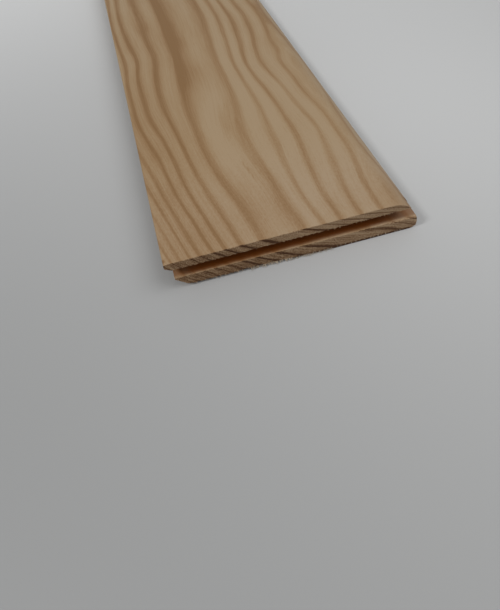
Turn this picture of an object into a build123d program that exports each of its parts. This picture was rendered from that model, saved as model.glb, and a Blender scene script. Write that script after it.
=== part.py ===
from build123d import *
import os

# Pine skirting board, one machined length, lying on its back with its face up.
# X runs from the edge that meets the floor to the rounded top edge, Y runs along
# the length from the grooved end to the tongued end, Z runs from back to face.
# The origin is under the middle of the board, on its back. Sizes in millimetres.

# Overall section and length
BOARD_WIDTH = 95.0
BOARD_THICKNESS = 14.0
LAID_LENGTH = 2400.0

# Rounded top edge, with a small chamfer on its back arris
TOP_ROUND_RADIUS = 12.7
TOP_CHAMFER_ACROSS = 2.0

# Floor edge: a thin lip stands proud, the wood behind it is cut back and then bevelled
FLOOR_LIP_HEIGHT = 3.6
RELIEF_AT_LIP = 2.2
RELIEF_AT_BEVEL = 2.4
BEVEL_TOP_BELOW_FACE = 8.7
BEVEL_ACROSS = 5.8
FACE_ARRIS_RADIUS = 0.5

# End matching: a groove across one end takes the tongue of the next board.
# The groove's upper wall is level with the underside of the floor lip.
GROOVE_BELOW_FACE = FLOOR_LIP_HEIGHT
GROOVE_WIDTH = 4.4
GROOVE_DEPTH = 6.5
TONGUE_CLEARANCE = 0.1
TONGUE_LENGTH = 6.0
TONGUE_LEAD_IN = 0.5

# Places worked out from the sizes above
FLOOR_X = -BOARD_WIDTH / 2
TOP_X = BOARD_WIDTH / 2
GROOVED_END_Y = -(LAID_LENGTH + TONGUE_LENGTH) / 2
SHOULDER_Y = GROOVED_END_Y + LAID_LENGTH
GROOVE_TOP_Z = BOARD_THICKNESS - GROOVE_BELOW_FACE
GROOVE_BOTTOM_Z = GROOVE_TOP_Z - GROOVE_WIDTH
GROOVE_MIDDLE_Z = (GROOVE_TOP_Z + GROOVE_BOTTOM_Z) / 2
TONGUE_THICKNESS = GROOVE_WIDTH - 2 * TONGUE_CLEARANCE


def board_section():
    """The moulded section, drawn on the X-Z plane and going round from the back."""
    round_centre = (TOP_X - TOP_ROUND_RADIUS, BOARD_THICKNESS - TOP_ROUND_RADIUS)
    arris_centre = (FLOOR_X + FACE_ARRIS_RADIUS, BOARD_THICKNESS - FACE_ARRIS_RADIUS)
    bevel_top = (FLOOR_X + RELIEF_AT_BEVEL, BOARD_THICKNESS - BEVEL_TOP_BELOW_FACE)
    bevel_foot = (bevel_top[0] + BEVEL_ACROSS, 0)
    lip_underside_z = BOARD_THICKNESS - FLOOR_LIP_HEIGHT
    chamfer_foot = (TOP_X - TOP_CHAMFER_ACROSS, 0)

    with BuildSketch(Plane.XZ) as section:
        with BuildLine():
            Line(bevel_foot, chamfer_foot)
            Line(chamfer_foot, (TOP_X, round_centre[1]))
            top_round = CenterArc(round_centre, TOP_ROUND_RADIUS, 0, 90)
            Line(top_round @ 1, (arris_centre[0], BOARD_THICKNESS))
            face_arris = CenterArc(arris_centre, FACE_ARRIS_RADIUS, 90, 90)
            Polyline(
                face_arris @ 1,
                (FLOOR_X, lip_underside_z),
                (FLOOR_X + RELIEF_AT_LIP, lip_underside_z),
                bevel_top,
                bevel_foot,
            )
        make_face()
    return section.sketch


def run_of_section(start_y, length):
    """The section drawn out along the board from start_y."""
    run = extrude(board_section(), amount=length, dir=(0, 1, 0))
    return run.moved(Location((0, start_y, 0)))


def end_groove():
    """Slot sawn right across the near end, open at the end and at both edges."""
    slot = Box(2 * BOARD_WIDTH, 2 * GROOVE_DEPTH, GROOVE_WIDTH)
    return slot.moved(Location((0, GROOVED_END_Y, GROOVE_MIDDLE_Z)))


def end_tongue():
    """Tongue left across the far end: the section's own outline, cut to a thin band."""
    band = Box(2 * BOARD_WIDTH, 2 * TONGUE_LENGTH, TONGUE_THICKNESS)
    leading_edges = band.edges().filter_by(Axis.X).group_by(Axis.Y)[-1]
    band = chamfer(leading_edges, TONGUE_LEAD_IN)
    band = band.moved(Location((0, SHOULDER_Y, GROOVE_MIDDLE_Z)))
    return run_of_section(SHOULDER_Y, TONGUE_LENGTH) & band


def skirting_board():
    board = run_of_section(GROOVED_END_Y, LAID_LENGTH)
    return board - end_groove() + end_tongue()


os.makedirs("parts", exist_ok=True)
export_step(skirting_board(), "parts/skirting_board.step")
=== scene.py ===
import bmesh
import bpy
import math
import random
from mathutils import Matrix, Vector, noise


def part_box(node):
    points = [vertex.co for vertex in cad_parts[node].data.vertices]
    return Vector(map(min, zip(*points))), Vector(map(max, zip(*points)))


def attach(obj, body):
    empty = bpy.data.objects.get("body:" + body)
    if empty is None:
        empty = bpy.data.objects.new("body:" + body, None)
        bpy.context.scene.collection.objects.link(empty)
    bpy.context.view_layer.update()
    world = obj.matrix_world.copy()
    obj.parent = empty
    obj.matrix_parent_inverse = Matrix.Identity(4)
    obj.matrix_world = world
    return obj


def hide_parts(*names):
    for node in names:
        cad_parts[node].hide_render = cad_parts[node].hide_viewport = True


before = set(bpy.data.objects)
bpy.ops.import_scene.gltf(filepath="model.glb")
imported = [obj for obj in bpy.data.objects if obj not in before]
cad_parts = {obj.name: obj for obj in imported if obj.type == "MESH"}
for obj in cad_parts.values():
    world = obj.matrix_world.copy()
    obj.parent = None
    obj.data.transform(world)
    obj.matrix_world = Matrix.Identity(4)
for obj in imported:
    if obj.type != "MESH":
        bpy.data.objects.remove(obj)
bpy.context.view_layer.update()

MM = 0.001

# The board: overall sizes come from the frame, the section repeats the CAD section
NODE = "skirting_board"
LOW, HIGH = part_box(NODE)
WIDTH = (HIGH.x - LOW.x) / MM
THICKNESS = (HIGH.z - LOW.z) / MM
TONGUE_LENGTH = 6.0
TONGUE_CLEARANCE = 0.1
TONGUE_LEAD_IN = 0.5
WHOLE_LENGTH = (HIGH.y - LOW.y) / MM
LAID_LENGTH = WHOLE_LENGTH - TONGUE_LENGTH
TOP_ROUND_RADIUS = 12.7
TOP_CHAMFER_ACROSS = 2.0
FLOOR_LIP_HEIGHT = 3.6
RELIEF_AT_LIP = 2.2
RELIEF_AT_BEVEL = 2.4
BEVEL_TOP_BELOW_FACE = 8.7
BEVEL_ACROSS = 5.8
FACE_ARRIS_RADIUS = 0.5
GROOVE_WIDTH = 4.4
GROOVE_DEPTH = 6.5

# Places worked out from the sizes above, off the near floor-edge corner
BEVEL_TOP_Z = THICKNESS - BEVEL_TOP_BELOW_FACE
GROOVE_TOP_Z = THICKNESS - FLOOR_LIP_HEIGHT
GROOVE_BOTTOM_Z = GROOVE_TOP_Z - GROOVE_WIDTH
TONGUE_TOP_Z = GROOVE_TOP_Z - TONGUE_CLEARANCE
TONGUE_BOTTOM_Z = GROOVE_BOTTOM_Z + TONGUE_CLEARANCE
ROUND_CENTRE_X = WIDTH - TOP_ROUND_RADIUS
ROUND_CENTRE_Z = THICKNESS - TOP_ROUND_RADIUS


def row_point(across, along, height):
    """A point in the row frame, in metres, from millimetres off the near floor-edge corner."""
    return Vector((LOW.x + across * MM, LOW.y + along * MM, LOW.z + height * MM))


# Camera, solved from the photograph's straight lines
CAMERA_FROM_CORNER = (9.88, -99.99, THICKNESS + 109.83)
CAMERA_HEADING = math.radians(10.17)
CAMERA_PITCH = math.radians(-55.15)
CAMERA_ROLL = math.radians(-6.95)
SENSOR = 36.0
FOCAL_PIXELS = 435
FRAME_PIXELS = 610


def add_camera():
    data = bpy.data.cameras.new("camera")
    data.sensor_width = SENSOR
    data.lens = SENSOR * FOCAL_PIXELS / FRAME_PIXELS
    data.clip_start = 0.005
    data.clip_end = 50
    camera = bpy.data.objects.new("camera", data)
    bpy.context.scene.collection.objects.link(camera)
    turn = (
        Matrix.Rotation(-CAMERA_HEADING, 4, "Z")
        @ Matrix.Rotation(math.pi / 2 + CAMERA_PITCH, 4, "X")
        @ Matrix.Rotation(CAMERA_ROLL, 4, "Z")
    )
    camera.matrix_world = Matrix.Translation(row_point(*CAMERA_FROM_CORNER)) @ turn
    bpy.context.scene.camera = camera


# How the board's mesh is cut, in millimetres. Heights: close together above the back, then this gap
BACK_LEVELS = [0.0, 0.15, 0.4]
LEVEL_GAP = 0.42
ROUND_STEPS = 20
ARRIS_STEPS = 4
# Columns across: close together at both edges, then this gap. Away from the sawn end only every
# sixth is kept, and one of those inside the lip.
EDGE_STRIP = 0.12
SECOND_STRIP = 0.4
COLUMN_GAP = 0.25
COARSE_EVERY = 6
COARSE_IN_LIP = 2
# Stations along: those by the sawn end, then where each stretch ends and the gap inside it
NEAR_STATIONS = [0.0, 0.12, 0.3, 0.55, 0.9, 1.4, 2.1, 3.2, 4.8, GROOVE_DEPTH, 8.0]
STRETCHES = ((30.0, 2.5), (330.0, 5.0), (LAID_LENGTH, 45.0))
# Marks that agree to this many decimals are one, and so are corners within this many metres
DECIMALS = 6
SAME_PLACE = 1e-7
# The sides of a grid cell: the axis that each looks along, and whether to its low or its high end
CELL_SIDES = [(axis, side) for axis in range(3) for side in range(2)]


def left_x(z, lip):
    """Where the section's floor-edge side is at height z. lip says which side of the lip's step."""
    arris_z = THICKNESS - FACE_ARRIS_RADIUS
    if lip:
        rise = max(0.0, z - arris_z)
        return FACE_ARRIS_RADIUS - math.sqrt(max(0.0, FACE_ARRIS_RADIUS**2 - rise**2))
    if z < BEVEL_TOP_Z:
        return RELIEF_AT_BEVEL + BEVEL_ACROSS * (1 - z / BEVEL_TOP_Z)
    share = (z - BEVEL_TOP_Z) / (GROOVE_TOP_Z - BEVEL_TOP_Z)
    return RELIEF_AT_BEVEL + (RELIEF_AT_LIP - RELIEF_AT_BEVEL) * share


def right_x(z):
    """Where the section's rounded side is at height z."""
    if z < ROUND_CENTRE_Z:
        return WIDTH - TOP_CHAMFER_ACROSS * (1 - z / ROUND_CENTRE_Z)
    rise = z - ROUND_CENTRE_Z
    return ROUND_CENTRE_X + math.sqrt(max(0.0, TOP_ROUND_RADIUS**2 - rise**2))


def filled(marks, gap):
    """The sorted marks with evenly spaced values between them, no further apart than gap."""
    marks = sorted(set(round(m, DECIMALS) for m in marks))
    out = [marks[0]]
    for low, high in zip(marks, marks[1:]):
        steps = max(1, math.ceil((high - low) / gap - 10**-DECIMALS))
        out += [low + (high - low) * i / steps for i in range(1, steps + 1)]
    return out


def quarter_round_heights(centre_z, radius, steps):
    return [centre_z + radius * math.sin(math.pi / 2 * i / steps) for i in range(steps + 1)]


def section_heights():
    """Heights at which the board's mesh is cut."""
    top_round = quarter_round_heights(ROUND_CENTRE_Z, TOP_ROUND_RADIUS, ROUND_STEPS)
    face_arris = quarter_round_heights(THICKNESS - FACE_ARRIS_RADIUS, FACE_ARRIS_RADIUS, ARRIS_STEPS)
    corners = [BEVEL_TOP_Z, GROOVE_BOTTOM_Z, TONGUE_BOTTOM_Z, TONGUE_TOP_Z, GROOVE_TOP_Z]
    return filled(BACK_LEVELS + corners + top_round + face_arris, LEVEL_GAP)


def stations():
    """Distances along the board at which its mesh is cut across."""
    out = list(NEAR_STATIONS)
    for end, gap in STRETCHES:
        out += filled([out[-1], end], gap)[1:]
    return out + [WHOLE_LENGTH - TONGUE_LEAD_IN, WHOLE_LENGTH]


def column_shares():
    """Shares of the width at which the mesh is cut, for the lip's own strip and for the rest."""
    lip = filled([0.0, EDGE_STRIP, FACE_ARRIS_RADIUS, RELIEF_AT_LIP], COLUMN_GAP)
    rest_width = WIDTH - RELIEF_AT_LIP
    strips = [0.0, EDGE_STRIP, SECOND_STRIP]
    rest = filled(strips + [rest_width - strip for strip in strips], COLUMN_GAP)
    return [x / RELIEF_AT_LIP for x in lip], [x / rest_width for x in rest]


class BoardGrid:
    """The board as a grid bent to its section: columns across, stations along, heights up."""

    def __init__(self):
        self.lip_shares, self.rest_shares = column_shares()
        self.lip_columns = len(self.lip_shares) - 1
        self.columns = list(range(self.lip_columns + len(self.rest_shares)))
        self.heights = section_heights()
        self.stations = stations()

    def coarse_columns(self):
        """The columns kept away from the sawn end."""
        regular = range(self.lip_columns, len(self.columns), COARSE_EVERY)
        return sorted({0, COARSE_IN_LIP, self.columns[-1], *regular})

    def across(self, column, z):
        """The distance from the floor edge to a column at height z."""
        if column < self.lip_columns:
            start = left_x(z, lip=True)
            return start + (RELIEF_AT_LIP - start) * self.lip_shares[column]
        start = RELIEF_AT_LIP if z > GROOVE_TOP_Z else left_x(z, lip=False)
        share = self.rest_shares[column - self.lip_columns]
        return start + (right_x(z) - start) * share

    def height(self, station, z):
        """The height of a level: the tongue's last station is narrower, for its lead-in."""
        if station < len(self.stations) - 1:
            return z
        middle = (TONGUE_TOP_Z + TONGUE_BOTTOM_Z) / 2
        half = (TONGUE_TOP_Z - TONGUE_BOTTOM_Z) / 2
        return middle + (z - middle) * (half - TONGUE_LEAD_IN) / half

    def point(self, corner):
        """The place of a corner, given as its column, station and level."""
        column, station, level = corner
        z = self.heights[level]
        return self.across(column, z), self.stations[station], self.height(station, z)

    def is_wood(self, column, station, level):
        """Whether the cell past this column, station and level is wood."""
        z = (self.heights[level] + self.heights[level + 1]) / 2
        y = (self.stations[station] + self.stations[station + 1]) / 2
        if column < self.lip_columns and z < GROOVE_TOP_Z:
            return False
        if y < GROOVE_DEPTH:
            return not GROOVE_BOTTOM_Z < z < GROOVE_TOP_Z
        if y > LAID_LENGTH:
            return TONGUE_BOTTOM_Z < z < TONGUE_TOP_Z
        return True

    def zone_faces(self, columns, first, last):
        """Axis, side and corner indices of every face that bounds the wood between two stations."""
        levels = range(len(self.heights) - 1)
        spans = list(zip(columns, columns[1:]))
        wood = {
            (c, s, k)
            for c in range(len(spans))
            for s in range(first, last)
            for k in levels
            if self.is_wood(spans[c][0], s, k)
        }
        for c, s, k in sorted(wood):
            left, right = spans[c]
            for axis, side in CELL_SIDES:
                step = [0, 0, 0]
                step[axis] = 2 * side - 1
                beside = (c + step[0], s + step[1], k + step[2])
                inside_zone = first <= beside[1] < last
                at_whole_end = beside[1] < 0 or beside[1] > len(self.stations) - 2
                if beside in wood or not (inside_zone or at_whole_end):
                    continue
                yield axis, side, face_corners(axis, side, (left, s, k), (right, s + 1, k + 1))


def face_corners(axis, side, low, high):
    """The four corners of a cell's face that looks along an axis to one side."""
    first_axis, second_axis = [a for a in range(3) if a != axis]
    corners = []
    for a, b in ((0, 0), (1, 0), (1, 1), (0, 1)):
        corner = [0, 0, 0]
        corner[axis] = (low, high)[side][axis]
        corner[first_axis] = (low, high)[a][first_axis]
        corner[second_axis] = (low, high)[b][second_axis]
        corners.append(tuple(corner))
    return corners


def with_fine_edges(corners, seam_station):
    """The corners, with the fine columns added on any edge that lies across the seam."""
    out = []
    for start, end in zip(corners, corners[1:] + corners[:1]):
        out.append(start)
        if start[1] == end[1] == seam_station and start[0] != end[0]:
            step = 1 if end[0] > start[0] else -1
            out += [(c, start[1], start[2]) for c in range(start[0] + step, end[0], step)]
    return out


# The map for a baked picture. Each chart's place on it is in pixels: left, bottom, and pixels for
# each millimetre to the right and up. A long chart's length is shared out by long_map instead.
MAP_NAME = "OFBake"
MAP_SIZE = 1024
LONG_CHART = (4, 1020)
NEAR_LENGTH = 330.0
NEAR_SHARE = 0.34
FACE_CHART = (4, 4.2)
BACK_CHART = (450, 2.4)
SIDE_CHART = (684, 4.0)
LIP_UNDERSIDE_CHART = (744, 4.0)
NEAR_END_CHART = (4, 759, 8.0, 8.0)
GROOVE_FLOOR_CHART = (4, 877, 8.0, 5.0)
GROOVE_BACK_CHART = (4, 915, 8.0, 5.0)
GROOVE_ROOF_CHART = (4, 942, 8.0, 4.0)
FAR_END_CHART = (772, 759, 2.6, 4.5)
TONGUE_TOP_CHART = (772, 828, 2.6, 5.0)
TONGUE_UNDERSIDE_CHART = (772, 864, 2.6, 5.0)
FIBRE_CHART = (4, 974)
FIBRE_CELL = 8
FIBRE_SIDES = 4
CELL_MARGIN = 2
CHART_MARGIN = 4


def on_picture(right, up):
    return right / MAP_SIZE, up / MAP_SIZE


def long_map(chart, y, girth):
    """A place on a chart as long as the board, which gives the stretch near the sawn end more room."""
    share = NEAR_SHARE * min(y, NEAR_LENGTH) / NEAR_LENGTH
    share += (1 - NEAR_SHARE) * max(0.0, y - NEAR_LENGTH) / (WHOLE_LENGTH - NEAR_LENGTH)
    start, end = LONG_CHART
    bottom, pixels = chart
    return on_picture(start + (end - start) * share, bottom + pixels * girth)


def short_map(chart, across, up):
    left, bottom, pixels_across, pixels_up = chart
    return on_picture(left + pixels_across * across, bottom + pixels_up * up)


def fibre_map(number, side, along):
    """A place on a fibre's own cell: its sides lie next to each other."""
    left, bottom = FIBRE_CHART
    in_row = (MAP_SIZE - 2 * left) // FIBRE_CELL
    row, column = divmod(number, in_row)
    width = (FIBRE_CELL - CELL_MARGIN) / FIBRE_SIDES
    right = left + FIBRE_CELL * column + width * side
    return on_picture(right, bottom + FIBRE_CELL * row + (FIBRE_CELL - CELL_MARGIN) * along)


def round_girth(z):
    """How far round the section a height on the rounded side is, from the floor edge over the face."""
    if z < ROUND_CENTRE_Z:
        return ROUND_CENTRE_X + TOP_ROUND_RADIUS * math.pi / 2 + ROUND_CENTRE_Z - z
    turn = math.acos(min(1.0, (z - ROUND_CENTRE_Z) / TOP_ROUND_RADIUS))
    return ROUND_CENTRE_X + TOP_ROUND_RADIUS * turn


def map_place(axis, side, middle, point):
    """Where a point lies on the picture, for a face that looks along an axis to one side."""
    x, y, z = point
    middle_x, middle_y, middle_z = middle
    if axis == 0:
        return long_map(FACE_CHART, y, round_girth(z)) if side else long_map(SIDE_CHART, y, z)
    if axis == 1:
        if side:
            return short_map(FAR_END_CHART, x, z)
        if middle_y > GROOVE_DEPTH / 2:
            return short_map(GROOVE_BACK_CHART, x, z - GROOVE_BOTTOM_Z)
        return short_map(NEAR_END_CHART, x, z)
    if middle_y > LAID_LENGTH:
        chart = TONGUE_TOP_CHART if side else TONGUE_UNDERSIDE_CHART
        return short_map(chart, x, y - LAID_LENGTH)
    if side:
        top = middle_z > GROOVE_TOP_Z
        return long_map(FACE_CHART, y, x) if top else short_map(GROOVE_FLOOR_CHART, x, y)
    if middle_z < GROOVE_BOTTOM_Z / 2:
        return long_map(BACK_CHART, y, x)
    if middle_x < RELIEF_AT_LIP:
        return long_map(LIP_UNDERSIDE_CHART, y, x)
    return short_map(GROOVE_ROOF_CHART, x, y)


def build_board_mesh():
    """The board as machined: fine at the sawn end, coarser from the seam on."""
    grid = BoardGrid()
    seam = len(NEAR_STATIONS) - 1
    last = len(grid.stations) - 1
    bm = bmesh.new()
    uv_layer = bm.loops.layers.uv.new(MAP_NAME)
    corner_vertices = {}

    def vertex(corner):
        if corner not in corner_vertices:
            corner_vertices[corner] = bm.verts.new(row_point(*grid.point(corner)))
        return corner_vertices[corner]

    zones = [(grid.columns, 0, seam), (grid.coarse_columns(), seam, last)]
    for columns, first, final in zones:
        for axis, side, corners in grid.zone_faces(columns, first, final):
            rim = with_fine_edges(corners, seam)
            face = bm.faces.new([vertex(c) for c in rim])
            middle = [sum(values) / len(corners) for values in zip(*[grid.point(c) for c in corners])]
            for loop, corner in zip(face.loops, rim):
                loop[uv_layer].uv = map_place(axis, side, middle, grid.point(corner))
    bmesh.ops.remove_doubles(bm, verts=bm.verts, dist=SAME_PLACE)
    bmesh.ops.recalc_face_normals(bm, faces=bm.faces)
    return bm


# Wear and tear of the sawn end, in millimetres. It reaches this far along the board.
WEATHERED_LENGTH = 3.5
# The saw came out through the back and tore its arris: how high and how far along, at the left and
# at the right, where the one gives way to the other, how uneven it is, and how rough
TORN_HEIGHTS = (1.45, 0.05)
TORN_LENGTHS = (0.9, 2.5)
TORN_CHANGES = (28.0, 60.0)
TORN_LEAST = 0.55
TORN_VARIES = 0.8
TORN_ROUGHNESS = 0.25
TORN_LUMP_SIZE = (0.5, 0.4, 0.4)
# The other arrises are only worn, and the lip's thin corner most
WORN_ARRIS = 0.13
WORN_LEAST = 0.6
WORN_VARIES = 0.8
WORN_LIP_CORNER = 1.5
LIP_CORNER_LENGTH = 2.6
LIP_CORNER_SLANT = 1.5
# A size too small to see
TINY = 0.01
# Fibres leave the lip's lower edge and the lower wall's upper edge ragged: how far up and down,
# how far that reaches along and up, and how high on the lip's teeth its machined edge was
RAGGED_LIP = 0.3
RAGGED_LIP_REACH = (0.6, 0.5)
RAGGED_LIP_EDGE = 0.8
RAGGED_WALL = 0.15
RAGGED_WALL_REACH = (0.5, 0.5)
# Under the groove the wood stands a little proud towards the rounded side: how far, and how far
# along the board that reaches
LOWER_WALL_PROUD = 0.35
LOWER_WALL_REACH = 3.0
# Its upper arris is worn, most beyond this place across. That takes in the ragged edge's teeth.
WORN_WALL = 0.6
WORN_WALL_FROM = 78.0
WORN_WALL_SETS_IN = 8.0
LOWER_WEAR_TOP_Z = GROOVE_BOTTOM_Z + 0.5
# Saw relief follows the rings, which slope down across the end, with a finer grain over it
SAW_RELIEF = 0.07
SAW_RELIEF_REACH = 0.5
SAW_SLOPE = 1.8
SAW_STROKE_SIZE = (0.7, 4.0)
SAW_SEED = 1.0
SAW_GRAIN_SIZE = 0.35
SAW_GRAIN_SHARE = 0.6
SAW_GRAIN_SEED = 5.0
# The chipped corner: its middle, how far it reaches, how deep it is, and how much of that is down
CHIP = (0.0, 1.6, THICKNESS)
CHIP_REACH = 0.9
CHIP_DEPTH = 0.45
CHIP_DOWN = 0.4
# How long the uneven teeth of each edge are, and a seed for each
TORN_TEETH = (1.3, 3.0)
WORN_TEETH = (4.0, 7.0)
LIP_TEETH = (0.8, 11.0)
WALL_TEETH = (1.1, 17.0)
# Finer teeth stand on the coarse ones: how many times finer, how far off in the noise, and how
# much of the height each kind makes up
FINER_TEETH = 2.7
FINER_TEETH_OFF = 9.0
COARSE_SHARE = 0.75
FINE_SHARE = 0.55
NOISE_ROW = 0.5


def fall(distance, reach):
    """One at no distance, easing to nothing at the reach."""
    share = min(1.0, max(0.0, distance / reach))
    return 1 - share * share * (3 - 2 * share)


def jagged(x, step, seed):
    """Uneven saw teeth between 0 and 1 along x."""
    coarse = noise.noise(Vector((x / step, seed, NOISE_ROW)))
    fine = noise.noise(Vector((FINER_TEETH * x / step, seed + FINER_TEETH_OFF, NOISE_ROW)))
    return min(1.0, max(0.0, 0.5 + COARSE_SHARE * coarse + FINE_SHARE * fine))


def arris_cut(a, b, reach_a, reach_b):
    """How far each way a point moves in, a and b off two faces, where their arris is cut away."""
    inside = max(0.0, 1 - a / reach_a - b / reach_b) / 2
    return inside * reach_a, inside * reach_b


def leftness_at(x):
    """One where the end is torn as at its left, nothing where it is as at its right."""
    return fall(x - TORN_CHANGES[0], TORN_CHANGES[1] - TORN_CHANGES[0])


def torn_back_arris(x, y, z):
    leftness = leftness_at(x)
    height, length = (far + (near - far) * leftness for near, far in (TORN_HEIGHTS, TORN_LENGTHS))
    height *= TORN_LEAST + TORN_VARIES * jagged(x, *TORN_TEETH)
    back, up = arris_cut(y, z, length, height)
    lumps = Vector([value / size for value, size in zip((x, y, z), TORN_LUMP_SIZE)])
    rough = TORN_ROUGHNESS * up * noise.noise(lumps)
    return x, y + back + rough, z + up - rough


def worn_face_arris(x, y, z):
    worn = WORN_ARRIS * (WORN_LEAST + WORN_VARIES * jagged(x, *WORN_TEETH))
    back, down = arris_cut(y, THICKNESS - z, worn, worn)
    return x, y + back, z - down


def worn_lip_corner(x, y, z):
    if z < GROOVE_TOP_Z - TINY:
        return x, y, z
    corner = max(TINY, WORN_LIP_CORNER * fall(y, LIP_CORNER_LENGTH))
    inward, up = arris_cut(x, z - GROOVE_TOP_Z, corner * LIP_CORNER_SLANT, corner)
    return x + inward, y, z + up


def ragged_edges(x, y, z):
    along, up = RAGGED_LIP_REACH
    at_lip = fall(y, along) * fall(abs(z - GROOVE_TOP_Z), up)
    z -= RAGGED_LIP * at_lip * (jagged(x, *LIP_TEETH) - RAGGED_LIP_EDGE)
    along, up = RAGGED_WALL_REACH
    at_wall = fall(y, along) * fall(abs(z - GROOVE_BOTTOM_Z), up)
    z -= RAGGED_WALL * at_wall * jagged(x, *WALL_TEETH)
    return x, y, z


def worn_lower_wall(x, y, z):
    if z >= LOWER_WEAR_TOP_Z:
        return x, y, z
    setting_in = 1 - fall(x - WORN_WALL_FROM, WORN_WALL_SETS_IN)
    worn = WORN_ARRIS + (WORN_WALL - WORN_ARRIS) * setting_in
    back, down = arris_cut(y, GROOVE_BOTTOM_Z - z, worn, worn)
    proud = LOWER_WALL_PROUD * fall(y, LOWER_WALL_REACH) * (1 - leftness_at(x))
    return x, y + back - proud, z - down


def sawn_relief(x, y, z):
    along_ring = x - (THICKNESS - z) * SAW_SLOPE
    across, up = SAW_STROKE_SIZE
    relief = noise.noise(Vector((along_ring / across, z / up, SAW_SEED)))
    grain = Vector((x / SAW_GRAIN_SIZE, z / SAW_GRAIN_SIZE, SAW_GRAIN_SEED))
    relief += SAW_GRAIN_SHARE * noise.noise(grain)
    return x, y + SAW_RELIEF * relief * fall(y, SAW_RELIEF_REACH), z


def chipped_corner(x, y, z):
    chip = CHIP_DEPTH * fall((Vector((x, y, z)) - Vector(CHIP)).length, CHIP_REACH)
    return x + chip, y, z - CHIP_DOWN * chip


# Each of these takes a point of the board in millimetres and gives it back worn
WEAR = (
    torn_back_arris, worn_face_arris, worn_lip_corner, ragged_edges, worn_lower_wall, sawn_relief,
    chipped_corner,
)


def weather_mesh(bm):
    """Move the mesh's points by the sawn end as the saw and handling left them."""
    origin = row_point(0, 0, 0)
    for vertex in bm.verts:
        place = tuple((vertex.co - origin) / MM)
        if place[1] < WEATHERED_LENGTH:
            for wear in WEAR:
                place = wear(*place)
            vertex.co = row_point(*place)


# Frayed fibres along arrises of the sawn end: from, to, how high, how far down they may hang,
# how many, how long
FRAYED = (
    (9.0, 30.0, 1.3, 0.03, 10, 1.2), (30.0, 46.0, 1.1, 0.03, 40, 2.2), (46.0, 62.0, 0.5, 0.03, 32, 2.0),
    (48.0, 90.0, 1.0, 0.05, 26, 1.0), (6.0, 40.0, GROOVE_TOP_Z, GROOVE_TOP_Z - 1.0, 12, 0.4),
    (40.0, 86.0, GROOVE_TOP_Z, GROOVE_TOP_Z - 1.0, 36, 0.6),
)
FIBRE_SEED = 4
FIBRE_THICKNESS = 0.2
FIBRE_FLATNESS = 0.6
FIBRE_BEND = 1.2
FIBRE_SECTIONS = ((0.0, 1.0), (0.5, 0.75))
FIBRE_ROOT_DEPTH = 0.12
# A direction that no fibre runs in
ACROSS_FIBRES = Vector((0.0, 1.0, 0.3))
# A root's place over the sides on a fibre's cell of the map
ROOT_ON_MAP = (1.05, 1.2)
# Between what limits each fibre varies: how far off the arris it is rooted, its share of the
# longest length, its lean to the side, its drop and how far it stands out as shares of its
# length, and its share of the thickness
ROOT_RISE = (-0.1, 0.25)
LENGTH_SHARE = (0.45, 1.0)
LEAN_SHARE = (-0.4, 0.4)
DROP_SHARE = (0.75, 0.95)
OUT_SHARE = (0.1, 0.55)
THICKNESS_SHARE = (0.6, 1.0)


def add_fibre(bm, root, tip, thickness, number):
    """A tapered sliver of wood from root to tip, bent a little at its middle and closed at its root."""
    uv_layer = bm.loops.layers.uv[MAP_NAME]
    run = tip - root
    side = run.cross(ACROSS_FIBRES).normalized() * thickness
    up = run.cross(side).normalized() * thickness * FIBRE_FLATNESS
    bend = up * FIBRE_BEND
    rings = []
    for share, width in FIBRE_SECTIONS:
        centre = root + run * share + bend * math.sin(math.pi * share)
        rings.append([bm.verts.new(centre + offset * width) for offset in (side, up, -side, -up)])
    point = bm.verts.new(tip)
    # Each face's corners, and their places across and along the sliver's cell of the map
    low, high = ROOT_ON_MAP
    middle = FIBRE_SECTIONS[1][0]
    outline = [(rings[0], ((0, low), (1, low), (1, high), (0, high)))]
    for i in range(FIBRE_SIDES):
        j = (i + 1) % FIBRE_SIDES
        side_corners = (rings[0][i], rings[0][j], rings[1][j], rings[1][i])
        outline.append((side_corners, ((i, 0), (i + 1, 0), (i + 1, middle), (i, middle))))
        tip_corners = (rings[1][i], rings[1][j], point)
        outline.append((tip_corners, ((i, middle), (i + 1, middle), (i + 0.5, 1))))
    for corners, places in outline:
        face = bm.faces.new(corners)
        for loop, (across, along) in zip(face.loops, places):
            loop[uv_layer].uv = fibre_map(number, across, along)


def fray_arrises(bm):
    """Fibres that hang from arrises of the sawn end."""
    rng = random.Random(FIBRE_SEED)
    number = 0
    for start, end, arris_z, lowest_z, count, longest in FRAYED:
        for i in range(count):
            x = start + (end - start) * (i + rng.random()) / count
            height = arris_z + rng.uniform(*ROOT_RISE)
            length = longest * rng.uniform(*LENGTH_SHARE)
            lean = rng.uniform(*LEAN_SHARE)
            drop = min(height - lowest_z, length * rng.uniform(*DROP_SHARE))
            wall_y = -LOWER_WALL_PROUD * (1 - leftness_at(x)) if arris_z < GROOVE_BOTTOM_Z else 0.0
            root = row_point(x, wall_y + FIBRE_ROOT_DEPTH, height)
            tip = row_point(x + lean * length, wall_y - length * rng.uniform(*OUT_SHARE), height - drop)
            thickness = FIBRE_THICKNESS * MM * rng.uniform(*THICKNESS_SHARE)
            add_fibre(bm, root, tip, thickness, number)
            number += 1


# Edges sharper than this aren't smoothed over
SHARP_ANGLE = math.radians(28)


def add_board():
    bm = build_board_mesh()
    weather_mesh(bm)
    fray_arrises(bm)
    bmesh.ops.recalc_face_normals(bm, faces=bm.faces)
    mesh = bpy.data.meshes.new("pine_board")
    bm.to_mesh(mesh)
    bm.free()
    mesh.shade_smooth()
    mesh.set_sharp_from_angle(angle=SHARP_ANGLE)
    board = bpy.data.objects.new("pine_board", mesh)
    bpy.context.scene.collection.objects.link(board)
    mesh.materials.append(PineShading().material)
    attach(board, "root")
    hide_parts(NODE)


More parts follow.
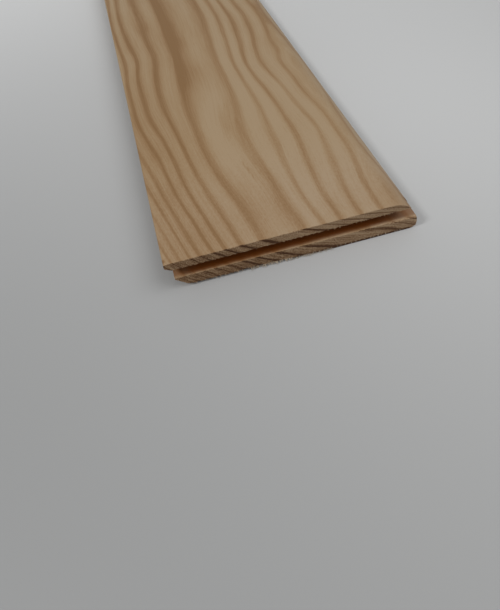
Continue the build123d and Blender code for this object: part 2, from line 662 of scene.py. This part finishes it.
def linear(*srgb):
    """A colour as read off a screen, 0 to 255 a channel, as the light value that a shader takes."""
    shares = [c / 255 for c in srgb]
    return [s / 12.92 if s <= 0.04045 else ((s + 0.055) / 1.055) ** 2.4 for s in shares] + [1.0]


# Noise from the nodes lies about one half. This spreads it out to about -1 to 1.
NOISE_SPREAD = 3.0


class Shading:
    """Short calls that build one material's nodes.

    A value is a number, a tuple or another node's output.
    """

    def __init__(self, name):
        self.material = bpy.data.materials.new(name)
        self.material.use_nodes = True
        self.tree = self.material.node_tree
        self.shader = self.tree.nodes["Principled BSDF"]

    def put(self, socket, value):
        if isinstance(value, bpy.types.NodeSocket):
            self.tree.links.new(value, socket)
        else:
            socket.default_value = value

    def add(self, kind, inputs, **settings):
        node = self.tree.nodes.new("ShaderNode" + kind)
        for name, value in settings.items():
            setattr(node, name, value)
        for key, value in inputs.items():
            self.put(node.inputs[key], value)
        return node

    def math(self, operation, *values):
        return self.add("Math", dict(enumerate(values)), operation=operation).outputs[0]

    def vector(self, operation, *values):
        return self.add("VectorMath", dict(enumerate(values)), operation=operation).outputs[0]

    def parts(self, vector):
        """The vector's three parts."""
        return list(self.add("SeparateXYZ", {0: vector}).outputs)

    def total(self, *values):
        out = values[0]
        for value in values[1:]:
            out = self.math("ADD", out, value)
        return out

    def product(self, *values):
        out = values[0]
        for value in values[1:]:
            out = self.math("MULTIPLY", out, value)
        return out

    def step(self, value, low, high, start=0.0, end=1.0):
        """Start below low, end above high, and an eased way between."""
        limits = {"Value": value, "From Min": low, "From Max": high, "To Min": start, "To Max": end}
        return self.add("MapRange", limits, interpolation_type="SMOOTHSTEP").outputs["Result"]

    def hills(self, x, y, rows):
        """Rounded hills, each given by its middle, its reach across and along, and its height."""
        heights = []
        for middle_x, middle_y, reach_x, reach_y, height in rows:
            across = self.math("MULTIPLY_ADD", x, 1 / reach_x, -middle_x / reach_x)
            along = self.math("MULTIPLY_ADD", y, 1 / reach_y, -middle_y / reach_y)
            squares = self.math("MULTIPLY_ADD", across, across, self.math("MULTIPLY", along, along))
            heights.append(self.product(self.math("EXPONENT", self.product(squares, -1.0)), height))
        return self.total(*heights)

    def board_place(self):
        """Millimetres across, along and up from the board's near floor-edge corner."""
        place = self.add("TexCoord", {}).outputs["Object"]
        from_corner = self.vector("SUBTRACT", place, tuple(row_point(0, 0, 0)))
        return self.parts(self.vector("DIVIDE", from_corner, (MM, MM, MM)))

    def noise(self, place, sizes, detail=2.0, roughness=0.5):
        """Noise about nothing, mostly between -1 and 1, whose features have these sizes."""
        shares = [self.math("DIVIDE", part, size) for part, size in zip(place, sizes)]
        vector = self.add("CombineXYZ", dict(enumerate(shares))).outputs[0]
        inputs = {"Vector": vector, "Scale": 1.0, "Detail": detail, "Roughness": roughness}
        value = self.add("TexNoise", inputs, noise_dimensions="3D").outputs[0]
        return self.math("MULTIPLY_ADD", value, NOISE_SPREAD, -NOISE_SPREAD / 2)

    def curve(self, value, points):
        """Straight lines through the points, from value to height."""
        low, high = points[0][0], points[-1][0]
        bottom, top = min(p[1] for p in points), max(p[1] for p in points)
        share = self.add("MapRange", {"Value": value, "From Min": low, "From Max": high}).outputs[0]
        node = self.add("FloatCurve", {"Value": share})
        line = node.mapping.curves[0]
        while len(line.points) < len(points):
            line.points.new(0.5, 0.5)
        for point, (x, height) in zip(line.points, points):
            point.location = ((x - low) / (high - low), (height - bottom) / (top - bottom))
            point.handle_type = "VECTOR"
        node.mapping.update()
        return self.math("MULTIPLY_ADD", node.outputs[0], top - bottom, bottom)

    def mix(self, share, first, second, blend="MIX"):
        """Two colours mixed. Their sockets share their names with others, and so go by number."""
        node = self.add("Mix", {"Factor": share}, data_type="RGBA", blend_type=blend)
        self.put(node.inputs[6], first)
        self.put(node.inputs[7], second)
        return node.outputs[2]

    def colours(self, share, stops):
        node = self.add("ValToRGB", {"Fac": share})
        while len(node.color_ramp.elements) < len(stops):
            node.color_ramp.elements.new(0.5)
        for element, (place, colour) in zip(node.color_ramp.elements, stops):
            element.position = place
            element.color = colour
        return node.outputs["Color"]


# Growth rings, counted across the face from the floor edge. Where each one is darkest, in
# millimetres before the grain swerves, and how dark it is there.
RINGS = (
    (-40.0, 0.6), (-36.0, 0.7), (-32.5, 0.6), (-28.5, 0.7), (-24.5, 0.6), (-20.5, 0.7), (-16.5, 0.65),
    (-13.0, 0.65), (-10.0, 0.6), (-6.3, 0.7), (-2.9, 0.75), (1.9, 0.9), (7.2, 0.95), (15.9, 0.95),
    (27.6, 1.0), (49.2, 0.95), (57.3, 0.85), (64.4, 0.95), (72.3, 0.85), (81.0, 0.85), (88.5, 0.75),
    (96.0, 0.7), (104.0, 0.7),
)
# How dark the wood is from one ring's darkest line (0) to the next one's (1)
RING_PROFILE = (
    (0.0, 1.0), (0.06, 0.96), (0.12, 0.78), (0.19, 0.45), (0.27, 0.18), (0.38, 0.04), (0.5, 0.0),
    (0.62, 0.03), (0.74, 0.15), (0.84, 0.42), (0.91, 0.78), (0.96, 0.96), (1.0, 1.0),
)
# Dark bands are narrower by the sawn end than along the board: from where to where, and from what
# power to what power of the profile. The power also varies, from band to band and along each one:
# over what length, and how much.
NARROWING = (90.0, 160.0, 1.1, 0.85)
BAND_CHANGE_SIZE = (1.0, 42.0, 1.0)
BAND_VARIES = 0.55
# Rings lean over with depth: how far for each millimetre at the floor edge, and the distance
# across the board over which that grows by a factor of e
LEAN_AT_EDGE = 0.72
LEAN_GROWTH = 43.5
# They stand up again towards the rounded side: from where to where, and from what share of the
# lean to what share
STEEPENING = (78.0, 100.0, 1.0, 0.7)
# Near the sawn end the rings run out towards the floor edge: by how much, over what length and
# width, and how suddenly
RUN_OUT = 16.5
RUN_OUT_LENGTH = 95.0
RUN_OUT_POWER = 1.6
RUN_OUT_WIDTH = (15.0, 50.0)
# Swerves of the grain: middle across and along, reach across and along, push across
SWERVES = (
    (38, 56, 16, 30, -5.0), (12, 60, 9, 26, 2.5), (14, 142, 14, 16, 2.2), (10, 198, 10, 28, -2.2),
    (50, 190, 14, 34, 3.0), (76, 170, 22, 26, 2.4), (76, 118, 20, 20, -3.6), (78, 54, 13, 22, 3.0),
    (80, 8, 14, 18, -2.2), (58, 20, 8, 22, -2.2), (24, 92, 9, 24, -1.2), (27, 150, 6, 30, 1.0),
    (80, 82, 6, 18, -2.2), (82, 124, 6, 10, 2.4), (50, 2, 8, 8, 1.6), (63, 105, 7, 16, -1.0),
    (20, 190, 9, 30, 2.6), (28, 38, 12, 34, -1.8), (10, 0, 12, 12, -0.8), (88, 5, 6, 20, -2.0),
    (84, 52, 6, 14, -2.0),
)
# These swerves give way to free grain between these distances along the board. Free grain wanders
# over long and over short stretches: the size and the seed of each, and how far it goes.
FREE_GRAIN = (215.0, 300.0)
LONG_BEND_SIZE = (60.0, 240.0, 1.0)
LONG_SEED = 3.0
LONG_WANDER = 9.0
SHORT_BEND_SIZE = (26.0, 62.0, 1.0)
SHORT_SEED = 8.0
SHORT_WANDER = 3.0
# Everywhere the rings waver a little
WAVE_SIZE = (7.0, 22.0, 7.0)
WAVER = 0.35

# Broad darker and paler patches, which follow the rings: middle across and along, reach across and
# along, how dark
PATCHES = (
    (34, 118, 7, 13, 0.4), (32, 175, 6, 62, 0.4), (38, 190, 8, 70, 0.15), (38, 62, 9, 34, -0.08),
    (88, 60, 7, 90, 0.35), (36, 10, 12, 22, 0.15), (43, 70, 2.5, 14, 0.3), (0, 70, 26, 160, 0.3),
    (0, 0, 26, 30, 0.2), (70, 30, 25, 35, -0.12), (27.6, 0, 4, 22, -0.25), (25, 50, 7, 30, 0.15),
    (49, 130, 3.5, 50, -0.15), (72, 95, 3, 20, -0.2), (81, 110, 3, 28, -0.22), (80, 4, 24, 14, 0.2),
    (42, 170, 7, 40, -0.12),
)
# Small dark marks: painted shade in the chipped corner's dent, and a scratch over the face
SCRATCH_AND_DENT_SHADE = (
    (0.0, 1.6, 0.7, 0.8, 1.6), (39.6, 41.5, 0.35, 2.2, 0.4), (40.3, 37.5, 0.35, 2.2, 0.5),
    (41.0, 33.5, 0.35, 2.2, 0.3),
)
# Sizes of what is in the wood: across, along and up, and for tears across, down and along
FIBRE_SIZE = (0.55, 26.0, 0.55)
THREAD_SIZE = (0.16, 6.0, 0.16)
CANAL_SIZE = (0.32, 9.0, 0.32)
CLOUD_SIZE = (20.0, 55.0, 20.0)
FUZZ_SIZE = (0.6, 1.1, 0.6)
TEAR_SIZE = (0.8, 4.0, 3.0)
PORE_SIZE = (0.45, 0.4, 0.4)
# Only the strongest of their noise shows as resin canals
CANAL_LIMITS = (0.78, 1.0)

# How much each thing darkens the face. Dark bands are paler by the sawn end, from where to where and
# from how dark to how dark, and the saw's fuzz shows less along the board.
BANDS_ON_FACE = 0.85
END_FADE = (50.0, 150.0, 0.75, 1.0)
FUZZ_ON_FACE = (20.0, 110.0, 0.16, 0.03)
FIBRES_ON_FACE = 0.22
THREADS_ON_FACE = 0.16
CLOUDS_ON_FACE = 0.2
CANALS_ON_FACE = 0.15
FACE_SHADE = 0.02
FACE_COLOURS = (
    (0.0, linear(160, 137, 107)), (0.3, linear(153, 127, 94)), (0.65, linear(142, 112, 77)),
    (1.0, linear(129, 97, 60)),
)
# Painted sheen: by the sawn end the face is painted a little paler and less yellow
NEAR_END_SHEEN_FADE = (5.0, 60.0, 1.0, 0.0)
NEAR_END_SHEEN_TINT = (1.03, 1.05, 1.13, 1.0)

# How much each thing darkens an end. Strokes are the dark bands seen there: strongest at the left,
# and weaker at the far end.
STROKES_ON_END = (25.0, 60.0, 1.05, 0.72)
FAR_STROKES = 0.65
PATCHES_ON_END = 0.3
TEARS_ON_END = 0.65
PORES_ON_END = 0.5
# From the left to the right, down the lower wall, and along the face's arris: from where to where,
# and from how much to how much. The end is painted darker towards the left as painted shade, the
# lower wall gets painted shade, and the face's arris gets a painted highlight.
END_PAINTED_SHADE = (0.0, 95.0, 0.35, 0.2)
LOWER_WALL_PAINTED_SHADE = (GROOVE_BOTTOM_Z - 0.5, GROOVE_BOTTOM_Z - 2.0, 0.0, 0.1)
ARRIS_PAINTED_HIGHLIGHT = (0.1, 0.4, -0.1, 0.0)
# Painted shade: a dark band is painted along the sawn end's foot, for the shadow under its torn
# arris: where it sets in and ends, how high it is, and how much the pores roughen its edge
FOOT_PAINTED_SHADE_FROM = (40.0, 54.0, 0.0, 1.6)
FOOT_PAINTED_SHADE_TO = (90.0, 94.0, 1.0, 0.0)
FOOT_PAINTED_SHADE_HEIGHT = (1.2, 0.5, 0.0)
FOOT_PAINTED_SHADE_EDGE = 0.6
NEAR_END = (GROOVE_DEPTH, GROOVE_DEPTH + 10.0, 1.0, 0.0)
END_COLOURS = (
    (0.0, linear(172, 146, 116)), (0.4, linear(141, 112, 82)), (0.75, linear(101, 69, 40)),
    (1.0, linear(72, 42, 17)),
)
# A surface shows end grain where it faces along the board by more than this
END_GRAIN = (0.45, 0.75)

# Painted shade: inside the groove the wood is painted darker and warmer, for the shade there. It
# runs from the sawn end in, to just inside the wood around the groove, and is less at the groove's own
# two ends, where light gets in
GROOVE_SHADE_FROM = (-0.6, 1.8)
GROOVE_SHADE_TO = (GROOVE_DEPTH + 0.4, GROOVE_DEPTH + 0.1)
GROOVE_SHADE_BELOW = (GROOVE_TOP_Z + 0.1, GROOVE_TOP_Z + 0.02)
GROOVE_SHADE_ABOVE = (GROOVE_BOTTOM_Z - 0.1, GROOVE_BOTTOM_Z - 0.02)
GROOVE_SHADE_LEFT = (3.0, 12.0, 0.5, 1.0)
GROOVE_SHADE_RIGHT = (78.0, 92.0, 0.95, 0.45)
GROOVE_SHADE_COLOUR = linear(131, 70, 17)
# Fibres that stand out of the sawn end's foot are paler, the more the further out they are
FIBRE_COLOUR = linear(196, 186, 168)
FIBRE_PALENESS = (0.1, -0.5, 0.25, 0.6)
PALE_FIBRES_BELOW = (2.0, 3.0, 1.0, 0.0)

# Gloss: rougher on an end, and a little with the fibres
ROUGHNESS = 0.55
FIBRE_ROUGHNESS = 0.05
END_ROUGHNESS = 0.25
WOOD_SPECULAR = 0.35
# Fine relief of the surface: how deep, and the shares of it
RELIEF_STRENGTH = 0.6
RELIEF_DEPTH = 0.08
BANDS_RELIEF = 0.5
FIBRES_RELIEF = 0.12
THREADS_RELIEF = 0.08
TEARS_RELIEF = 0.9
PORES_RELIEF = 0.3


class PineShading(Shading):
    """Plain-sawn pine: one pattern of rings runs through the board and shows on all its sides."""

    def __init__(self):
        super().__init__("pine")
        self.x, self.y, self.z = self.board_place()
        self.depth = self.math("SUBTRACT", THICKNESS, self.z)
        normal = self.parts(self.add("NewGeometry", {}).outputs["True Normal"])
        self.end_grain = self.step(self.math("ABSOLUTE", normal[1]), *END_GRAIN)
        self.at_near_end = self.step(self.y, *NEAR_END)
        self.ring_x = self.ring_place()
        self.bands = self.dark_bands()
        self.patches = self.hills(self.ring_x, self.y, PATCHES)
        # marks holds painted shade in the chipped corner's dent, and a dark scratch
        self.marks = self.hills(self.x, self.y, SCRATCH_AND_DENT_SHADE)
        along_grain = (self.ring_x, self.y, self.z)
        self.fibres = self.noise(along_grain, FIBRE_SIZE, detail=3.0, roughness=0.6)
        self.threads = self.noise(along_grain, THREAD_SIZE)
        self.canals = self.step(self.noise(along_grain, CANAL_SIZE, detail=0.0), *CANAL_LIMITS)
        self.tears = self.noise((self.ring_x, self.depth, self.y), TEAR_SIZE, detail=3.0, roughness=0.7)
        self.pores = self.noise((self.x, self.y, self.z), PORE_SIZE, detail=1.0)
        self.set_colour()
        self.set_gloss()
        self.set_relief()

    def ring_place(self):
        """Where the ring through each point would meet the face if the grain ran straight."""
        nearness = self.math("EXPONENT", self.math("DIVIDE", self.x, -LEAN_GROWTH))
        leaning_depth = self.product(self.depth, self.step(self.x, *STEEPENING))
        nearness = self.math("MULTIPLY_ADD", leaning_depth, LEAN_AT_EDGE / LEAN_GROWTH, nearness)
        face_x = self.math("MULTIPLY", self.math("LOGARITHM", nearness, math.e), -LEAN_GROWTH)
        wobble = self.product(self.noise((self.x, self.y, self.z), WAVE_SIZE), WAVER)
        return self.math("SUBTRACT", face_x, self.math("ADD", self.swerve(face_x), wobble))

    def swerve(self, face_x):
        """How far the grain has swerved across the face."""
        to_end = self.math("MULTIPLY_ADD", self.y, -1 / RUN_OUT_LENGTH, 1.0)
        sudden = self.math("POWER", self.math("MAXIMUM", to_end, 0.0), RUN_OUT_POWER)
        run_out = self.product(self.step(face_x, *RUN_OUT_WIDTH, RUN_OUT, 0.0), sudden)
        set_swerves = self.math("ADD", run_out, self.hills(face_x, self.y, SWERVES))
        long_bends = self.noise((face_x, self.y, LONG_SEED), LONG_BEND_SIZE, detail=1.0)
        short_bends = self.noise((face_x, self.y, SHORT_SEED), SHORT_BEND_SIZE, detail=1.0)
        wander = self.math(
            "ADD", self.product(long_bends, LONG_WANDER), self.product(short_bends, SHORT_WANDER)
        )
        free = self.step(self.y, *FREE_GRAIN)
        return self.math("ADD", set_swerves, self.product(wander, free))

    def dark_bands(self):
        """How dark the ring is at each point: which ring it is, and how far through that ring."""
        count = self.curve(self.ring_x, [(edge, i) for i, (edge, dark) in enumerate(RINGS)])
        strength = self.curve(self.ring_x, RINGS)
        band = (self.math("ROUND", count), self.y, 0.0)
        varied = self.noise(band, BAND_CHANGE_SIZE, detail=1.0)
        power = self.math("MULTIPLY_ADD", varied, BAND_VARIES, self.step(self.y, *NARROWING))
        profile = self.curve(self.math("FRACT", count), RING_PROFILE)
        return self.product(self.math("POWER", profile, power), strength)

    def face_colour(self):
        fuzz = self.noise((self.x, self.y, self.z), FUZZ_SIZE, detail=1.0)
        clouds = self.noise((self.x, self.y, self.z), CLOUD_SIZE)
        tone = self.total(
            self.product(self.bands, BANDS_ON_FACE, self.step(self.y, *END_FADE)),
            self.product(fuzz, self.step(self.y, *FUZZ_ON_FACE)),
            self.patches,
            # marks: a scratch, and painted shade in the chipped corner's dent
            self.marks,
            self.product(self.fibres, FIBRES_ON_FACE),
            self.product(self.threads, THREADS_ON_FACE),
            self.product(clouds, CLOUDS_ON_FACE),
            self.product(self.canals, CANALS_ON_FACE),
            FACE_SHADE,
        )
        # Painted sheen: the face is painted paler and less yellow near the sawn end
        painted_sheen = self.step(self.y, *NEAR_END_SHEEN_FADE)
        return self.mix(painted_sheen, self.colours(tone, FACE_COLOURS), NEAR_END_SHEEN_TINT, blend="MULTIPLY")

    def end_colour(self):
        """Sawn across, the rings are coarser and duller, with short tears along them."""
        end_strength = self.math("MULTIPLY_ADD", self.at_near_end, 1 - FAR_STROKES, FAR_STROKES)
        stroke = self.product(self.step(self.x, *STROKES_ON_END), end_strength)
        # Painted shade: a dark band along the sawn end's foot stands in for the shadow under its torn
        # arris
        foot_shade_to = self.step(self.x, *FOOT_PAINTED_SHADE_TO)
        foot_shade = self.product(self.step(self.x, *FOOT_PAINTED_SHADE_FROM), foot_shade_to, self.at_near_end)
        foot_shade_z = self.math("MULTIPLY_ADD", self.pores, FOOT_PAINTED_SHADE_EDGE, self.z)
        tone = self.total(
            # Cubed, so that only the darkest wood of each ring shows
            self.product(self.bands, self.bands, self.bands, stroke),
            self.product(self.patches, PATCHES_ON_END),
            # marks: a scratch, and painted shade in the chipped corner's dent
            self.marks,
            self.product(self.tears, TEARS_ON_END),
            self.product(self.pores, PORES_ON_END),
            # Painted shade: the end is darker towards the left
            self.step(self.x, *END_PAINTED_SHADE),
            # Painted shade down the lower wall
            self.step(self.z, *LOWER_WALL_PAINTED_SHADE),
            self.step(foot_shade_z, *FOOT_PAINTED_SHADE_HEIGHT, foot_shade),
            # Painted highlight along the face's arris
            self.step(self.depth, *ARRIS_PAINTED_HIGHLIGHT),
        )
        return self.colours(tone, END_COLOURS)

    def groove_painted_shade(self):
        """Painted shade: up to one inside the groove, and nothing outside it."""
        return self.product(
            self.step(self.y, *GROOVE_SHADE_FROM),
            self.step(self.y, *GROOVE_SHADE_TO),
            self.step(self.z, *GROOVE_SHADE_BELOW),
            self.step(self.z, *GROOVE_SHADE_ABOVE),
            self.step(self.x, *GROOVE_SHADE_LEFT),
            self.step(self.x, *GROOVE_SHADE_RIGHT),
        )

    def fibre_paleness(self):
        """Only frayed fibres have places this high up on the map."""
        bottom = FIBRE_CHART[1]
        map_up = self.parts(self.add("UVMap", {}, uv_map=MAP_NAME).outputs[0])[1]
        is_fibre = self.step(map_up, (bottom - CHART_MARGIN) / MAP_SIZE, bottom / MAP_SIZE)
        standing_out = self.step(self.y, *FIBRE_PALENESS)
        return self.product(is_fibre, standing_out, self.step(self.z, *PALE_FIBRES_BELOW))

    def set_colour(self):
        colour = self.mix(self.end_grain, self.face_colour(), self.end_colour())
        # Painted shade inside the groove, darker and warmer
        colour = self.mix(self.groove_painted_shade(), colour, GROOVE_SHADE_COLOUR)
        colour = self.mix(self.fibre_paleness(), colour, FIBRE_COLOUR)
        self.put(self.shader.inputs["Base Color"], colour)

    def set_gloss(self):
        roughness = self.math("MULTIPLY_ADD", self.fibres, FIBRE_ROUGHNESS, ROUGHNESS)
        roughness = self.math("MULTIPLY_ADD", self.end_grain, END_ROUGHNESS, roughness)
        self.put(self.shader.inputs["Roughness"], roughness)
        self.shader.inputs["Specular IOR Level"].default_value = WOOD_SPECULAR

    def set_relief(self):
        on_face = self.total(
            self.product(self.bands, BANDS_RELIEF),
            self.product(self.fibres, FIBRES_RELIEF),
            self.product(self.threads, THREADS_RELIEF),
        )
        on_end = self.total(
            self.product(self.tears, TEARS_RELIEF),
            self.product(self.pores, PORES_RELIEF),
        )
        shares = {"Factor": self.end_grain, 2: on_face, 3: on_end}
        relief = self.add("Mix", shares, data_type="FLOAT").outputs[0]
        bump = {"Strength": RELIEF_STRENGTH, "Distance": RELIEF_DEPTH * MM, "Height": relief}
        self.put(self.shader.inputs["Normal"], self.add("Bump", bump).outputs[0])


# The floor reaches this many metres each way
FLOOR_REACH = 12.0
FLOOR_COLOUR = linear(217, 218, 218)
BLACK = linear(0, 0, 0)
FLOOR_ROUGHNESS = 0.55
FLOOR_SPECULAR = 0.3
# Painted shadow: the floor is painted duller in front of the sawn end. That fades out along the
# board, from where to where and from how much to how much, and again far in front of the board.
FLOOR_PAINTED_SHADOW_ALONG = (-80.0, 450.0, 0.58, 0.0)
FLOOR_PAINTED_SHADOW_FRONT = (-2500.0, -150.0)
# A painted pool of light: the floor is painted paler beside the rounded side: middle across and
# along, reach across and along, how much
PAINTED_LIGHT_POOL = (150.0, 30.0, 150.0, 150.0, 0.27)


def floor_material():
    s = Shading("floor")
    x, y = s.board_place()[:2]
    # Painted shadow in front of the sawn end, less a painted pool of light beside the rounded side
    painted_shadow = s.product(s.step(y, *FLOOR_PAINTED_SHADOW_ALONG), s.step(y, *FLOOR_PAINTED_SHADOW_FRONT))
    # The painted pool of light beside the rounded side is taken off the painted shadow
    painted_shadow_and_light = s.math("SUBTRACT", painted_shadow, s.hills(x, y, [PAINTED_LIGHT_POOL]))
    s.put(s.shader.inputs["Base Color"], s.mix(painted_shadow_and_light, FLOOR_COLOUR, BLACK))
    s.shader.inputs["Roughness"].default_value = FLOOR_ROUGHNESS
    s.shader.inputs["Specular IOR Level"].default_value = FLOOR_SPECULAR
    return s.material


def add_floor():
    mesh = bpy.data.meshes.new("floor")
    corners = [(-1, -1, 0), (1, -1, 0), (1, 1, 0), (-1, 1, 0)]
    mesh.from_pydata([Vector(c) * FLOOR_REACH for c in corners], [], [(0, 1, 2, 3)])
    floor = bpy.data.objects.new("floor", mesh)
    bpy.context.scene.collection.objects.link(floor)
    mesh.materials.append(floor_material())


# Studio light: the sky's share of a level surface's light, and each lamp's place in millimetres,
# size in metres and share
SKY_SHARE = 0.38
LAMPS = (
    ("right", (850.0, -300.0, 1500.0), 1.2, 0.3),
    ("left", (-1200.0, -150.0, 1300.0), 0.3, 0.26),
    ("front", (100.0, -900.0, 1400.0), 1.0, 0.06),
)
AIM = (50.0, 50.0, THICKNESS)


def add_lamp(name, place, size, share):
    """A square lamp aimed at the board's end, which gives a level surface there that share of light."""
    data = bpy.data.lights.new(name, "AREA")
    data.size = size
    lamp = bpy.data.objects.new(name, data)
    bpy.context.scene.collection.objects.link(lamp)
    lamp.location = row_point(*place)
    aim = row_point(*AIM) - lamp.location
    lamp.rotation_euler = aim.to_track_quat("-Z", "Y").to_euler()
    slant = -aim.normalized().z
    data.energy = share * math.pi**2 * aim.length_squared / slant


def add_light():
    world = bpy.data.worlds.new("studio")
    bpy.context.scene.world = world
    world.use_nodes = True
    world.node_tree.nodes["Background"].inputs["Color"].default_value = (1, 1, 1, 1)
    world.node_tree.nodes["Background"].inputs["Strength"].default_value = SKY_SHARE
    for lamp in LAMPS:
        add_lamp(*lamp)


add_camera()
add_board()
add_floor()
add_light()
bpy.context.scene.view_settings.view_transform = "Standard"
